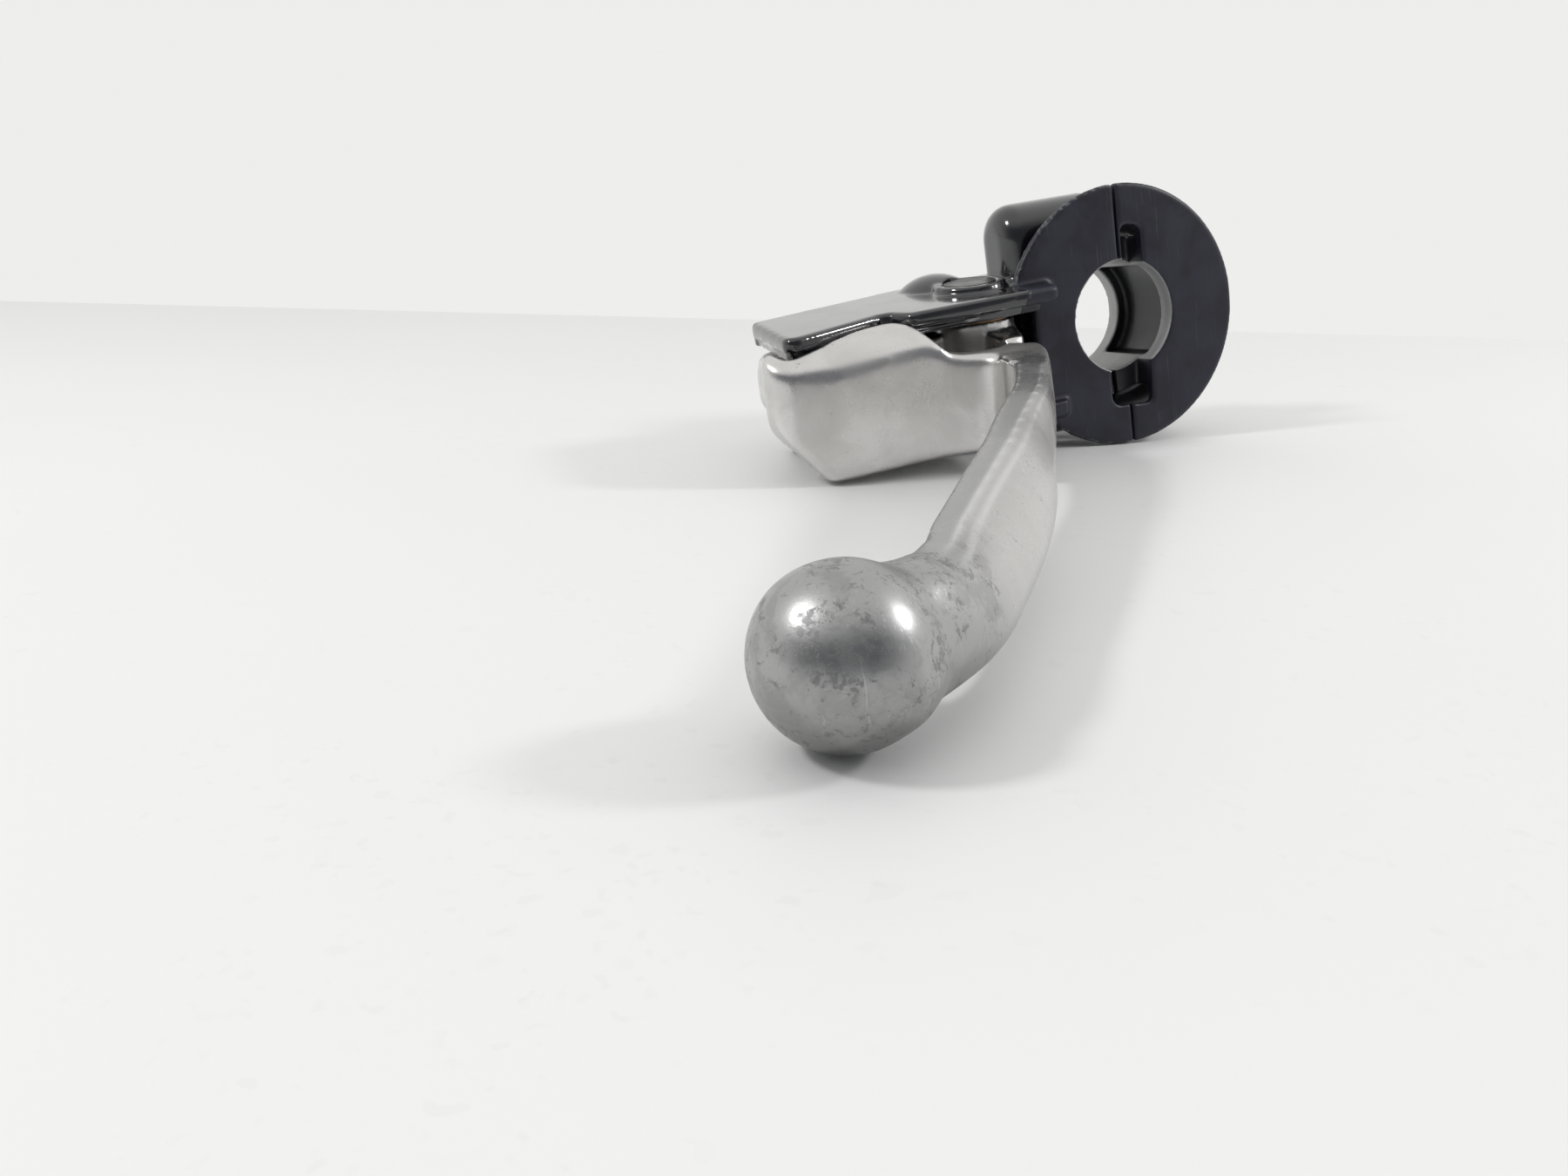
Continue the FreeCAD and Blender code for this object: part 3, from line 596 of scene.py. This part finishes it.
def lever_rounds(place):
    """How many times each place on the lever is relaxed."""
    clear = clear_of_bores(place)
    if clear == 0.0:
        return BORE_ROUNDS
    from_ball = place - ball_centre
    if from_ball.length < NECK_END:
        side = min(1.0, max(0.0, (from_ball.dot(TOWARD_BLADE) + 0.003) / 0.004))
        near = min(1.0, (NECK_END - from_ball.length) / NECK_FADE)
        return BALL_ROUNDS + round(NECK_ROUNDS * side * near)
    if in_front_of_blade(place):
        return BLADE_ROUNDS + round(BASE_ROUNDS * min(1.0, clear / BASE_FADE))
    return BLADE_ROUNDS


print("rounds at the pivot", lever_rounds(PIVOT_PLACE), "and at the ball", lever_rounds(ball_centre))

# %% Neck of the ball
NECK_PLACE = ball_centre + (CAMERA_RIGHT * 8.1 - CAMERA_TOP * 8.4) * 0.001
NECK_ALONG = (CAMERA_RIGHT * 0.685 + CAMERA_TOP * 0.728).normalized()
NECK_OUTWARD = (CAMERA_RIGHT * 0.728 - CAMERA_TOP * 0.685).normalized()
FILL_START = -2.0
FILL_END = 18.0
FILL_DEPTH = 3.0
FILL_SHARE = 0.0009


def fill_neck(piece):
    """Bring the hollow under the ball's neck out to a line that touches the ball."""
    for vertex in piece.data.vertices:
        offset = vertex.co - NECK_PLACE
        along = offset.dot(NECK_ALONG) * 1000
        below = offset.dot(NECK_OUTWARD) * 1000
        if not (FILL_START < along < FILL_END and -3 * FILL_DEPTH < below < 0):
            continue
        share = min(1.0, (along - FILL_START) / 3, (FILL_END - along) / 7)
        fade_in = math.exp(-((below / FILL_DEPTH) ** 2))
        vertex.co += NECK_OUTWARD * (-below * FILL_SHARE * share * fade_in)


print("neck filled along", NECK_ALONG[:])

# %% [markdown]
# Two crisp ridges run down the blade, with a flat face ahead of the first. A remesh
# would round them away, so they are lifted again afterwards, along two lines that follow
# the blade's stations. The same lines give the finish its two attributes: where it paints
# a highlight on the ridges, and where it paints shade on the face ahead of the first.

# %% Ridge lines
# Each station: how far out, how far forward, which way the blade points, how far back
# the two ridges stand, and how high its top is, in millimetres and degrees.
RIDGE_STATIONS = [
    (31.0, 46.4, 29.0, 5.8, 6.8, 2.0),
    (46.0, 55.4, 33.0, 5.2, 6.5, 1.9),
    (60.0, 66.4, 35.0, 5.1, 6.6, 1.8),
    (74.0, 76.5, 36.0, 4.7, 6.4, 1.9),
    (87.0, 86.7, 38.0, 4.5, 6.1, 2.0),
    (98.0, 95.2, 40.0, 4.3, 5.9, 2.1),
    (107.0, 102.0, 43.0, 4.3, 6.0, 2.4),
    (114.0, 107.2, 48.0, 4.7, 6.8, 3.0),
    (119.0, 112.2, 54.0, 5.6, 8.2, 4.0),
]
DROOP = math.radians(6.0)


def on_lever(out, forward, up):
    """A place on the drooped lever, from millimetres out, forward and up."""
    side = -out * math.cos(DROOP) - up * math.sin(DROOP) - FLANGE_FACE * 1000
    height = -out * math.sin(DROOP) + up * math.cos(DROOP)
    return Vector((-forward, side, height)) * 0.001


def ridge_line(second):
    """The first or the second ridge, as a line of points."""
    line = []
    for out, forward, heading, near, far, top in RIDGE_STATIONS:
        back = far if second else near
        drop = 0.3 * (far - near) + 0.7 if second else 0.15
        turn = math.radians(heading)
        line.append(on_lever(out + math.sin(turn) * back, forward - math.cos(turn) * back, top - drop))
    return line


FIRST_RIDGE = ridge_line(False)
SECOND_RIDGE = ridge_line(True)
print("ridges:", len(FIRST_RIDGE), "points each")


# %% Ridges
def nearest_on(line, place):
    """The distance to a line of points, and the offset from its nearest place."""
    best = None
    for start, end in zip(line, line[1:]):
        along = end - start
        share = min(1.0, max(0.0, (place - start).dot(along) / along.length_squared))
        offset = place - (start + along * share)
        if best is None or offset.length_squared < best.length_squared:
            best = offset
    return best.length, best


BACKWARD = Vector((0.80, -0.60, 0.0))
RIDGE_WIDTH = 0.0005
RIDGE_HEIGHT = 0.00022
FACE_WIDTH = 0.0068
FACE_FADE = 0.0006
RIDGE_STOP = 0.014
RIDGE_FADE = 0.012


def crest(distance):
    """A smooth bump, 1 on the ridge and 0 away from it."""
    return math.exp(-((distance / RIDGE_WIDTH) ** 2))


def sharpen_ridges(piece):
    """Lift two crisp ridges along the blade, and mark them for the painted highlight and the painted
    face shade.
    """
    lifted = []
    ridge_highlight = []
    ahead = []
    for vertex in piece.data.vertices:
        place = vertex.co
        far_first, offset = nearest_on(FIRST_RIDGE, place)
        far_second, _ = nearest_on(SECOND_RIDGE, place)
        past_ball = (place - ball_centre).length - RIDGE_STOP
        ends = min(1.0, max(0.0, past_ball / RIDGE_FADE))
        lift = ends * (crest(far_first) + crest(far_second))
        lifted.append(place + vertex.normal * RIDGE_HEIGHT * lift)
        ridge_highlight.append(min(1.0, lift))
        on_face = offset.dot(BACKWARD) < 0 and far_first < FACE_WIDTH and vertex.normal.z > 0.1
        shown = on_face and not in_front_of_blade(place)
        ahead.append(ends * min(1.0, far_first / FACE_FADE) if shown else 0.0)
    for vertex, place in zip(piece.data.vertices, lifted):
        vertex.co = place
    # These two attributes carry the painted ridge highlight and the painted face shade.
    for name, values in (("ridge_highlight", ridge_highlight), ("shade_ahead_of_ridge", ahead)):
        piece.data.attributes.new(name, "FLOAT", "POINT").data.foreach_set("value", values)
    piece.data.update()


# %% Lever casting
LEVER_SQUARE = 0.0005
lever_casting = cast_piece(
    "clutch_lever",
    "lever_casting",
    "lever",
    lever_finish,
    LEVER_SQUARE,
    lever_rounds,
    fill_neck,
)
sharpen_ridges(lever_casting)


# %% [markdown]
# The two halves of the perch are cast and painted, so all their corners are softened
# alike. Only the bore that grips the bar is kept close to its true size.

# %% Perch castings
BORE_EDGE = 0.0131
BRACKET_SQUARE = 0.00045
CAP_SQUARE = 0.00040


def perch_rounds(place):
    """The bar bore stays true; the rest has cast corners."""
    bar_distance = math.hypot(place.x, place.z)
    return 1 if bar_distance < BORE_EDGE else 4


cast_piece(
    "bracket",
    "perch_casting",
    "perch",
    gloss_paint,
    BRACKET_SQUARE,
    perch_rounds,
)
cast_piece(
    "clamp_cap",
    "clamp_cap_casting",
    "perch",
    satin_paint,
    CAP_SQUARE,
    perch_rounds,
)

# %% [markdown]
# The bench is a pale, slightly worn board. It is a little tipped against the bar's axis,
# because the object rests on its ball, its flange and the corner of its lower ear.

# %% Bench
BENCH_UP = Vector((0.12851, -0.10848, 0.98576)).normalized()
BENCH_DROP = 0.028284
BENCH_BACK_EDGE = Vector((0.8491, -0.5015, -0.1659)).normalized()
BENCH_BACK_POINT = Vector((0.0002, 0.2310, -0.0033))
BENCH_SIZE = 1.6


def make_bench_finish():
    material, tree, shader, place = start_finish("pale_bench")
    cloud = noise(tree, place, 5.0, detail=3.0)
    wide_place = stretch(tree, place, (0.16, 0.16, 0.16))
    marks = use(tree, SCRATCHES, Vector=wide_place, Amount=0.35)["Mask"]
    board = tint(tree, cloud, (0.80, 0.805, 0.80, 1), (0.84, 0.845, 0.84, 1))
    plug(tree, shader["Base Color"], tint(tree, calc(tree, "MULTIPLY", marks, 0.3), board, grey(0.6)))
    plug(tree, shader["Roughness"], between(tree, cloud, 0.42, 0.55))
    return material


def make_bench():
    shape = bmesh.new()
    bmesh.ops.create_grid(shape, x_segments=8, y_segments=8, size=BENCH_SIZE)
    across = BENCH_BACK_EDGE
    forward = BENCH_UP.cross(across).normalized()
    middle = BENCH_BACK_POINT - forward * BENCH_SIZE
    middle -= BENCH_UP * (BENCH_UP.dot(middle) + BENCH_DROP)
    bmesh.ops.transform(shape, matrix=facing(across, forward, BENCH_UP, middle), verts=shape.verts)
    data = bpy.data.meshes.new("bench")
    shape.to_mesh(data)
    shape.free()
    bench = bpy.data.objects.new("bench", data)
    bpy.context.collection.objects.link(bench)
    finish_piece(bench, make_bench_finish())
    return bench


bench = make_bench()
print("bench, metres to a side:", 2 * BENCH_SIZE)

# %% [markdown]
# The light is soft and mostly comes from a pale room, a little dimmer on the camera's
# side, which is what the ball shows in its middle. Two small lamps above and beside the
# camera add the bright spots on the ball and the two faint shadows.

# %% Room light
def make_room():
    world = bpy.data.worlds.new("room")
    world.use_nodes = True
    tree = world.node_tree
    direction = node(tree, "TexCoord").outputs["Generated"]
    both = {0: direction, 1: CAMERA_BACK}
    toward = node(tree, "VectorMath", both, operation="DOT_PRODUCT").outputs["Value"]
    overhead = node(tree, "SeparateXYZ", {0: direction}).outputs["Z"]
    camera_side = fade(tree, toward, -0.1, 0.85)
    dim = calc(tree, "MULTIPLY", camera_side, fade(tree, overhead, 0.9, 0.45))
    colour = tint(tree, dim, (0.90, 0.90, 0.885, 1), (0.16, 0.165, 0.18, 1))
    plug(tree, tree.nodes["Background"].inputs["Color"], colour)
    tree.nodes["Background"].inputs["Strength"].default_value = 0.95
    bpy.context.scene.world = world


def add_lamp(name, place, target, size, power):
    data = bpy.data.lights.new(name, "AREA")
    data.shape = "DISK"
    data.size = size
    data.energy = power
    lamp = bpy.data.objects.new(name, data)
    aim = (target - place).to_track_quat("-Z", "Y").to_matrix().to_4x4()
    lamp.matrix_world = Matrix.Translation(place) @ aim
    bpy.context.collection.objects.link(lamp)


make_room()
add_lamp("left_lamp", seen_from_camera(-0.56, 0.52, 0.10), ball_centre, 0.13, 2.1)
add_lamp("right_lamp", seen_from_camera(0.66, 0.42, -0.10), ball_centre, 0.12, 1.6)
bpy.context.scene.view_settings.view_transform = "Standard"
print("lights set")
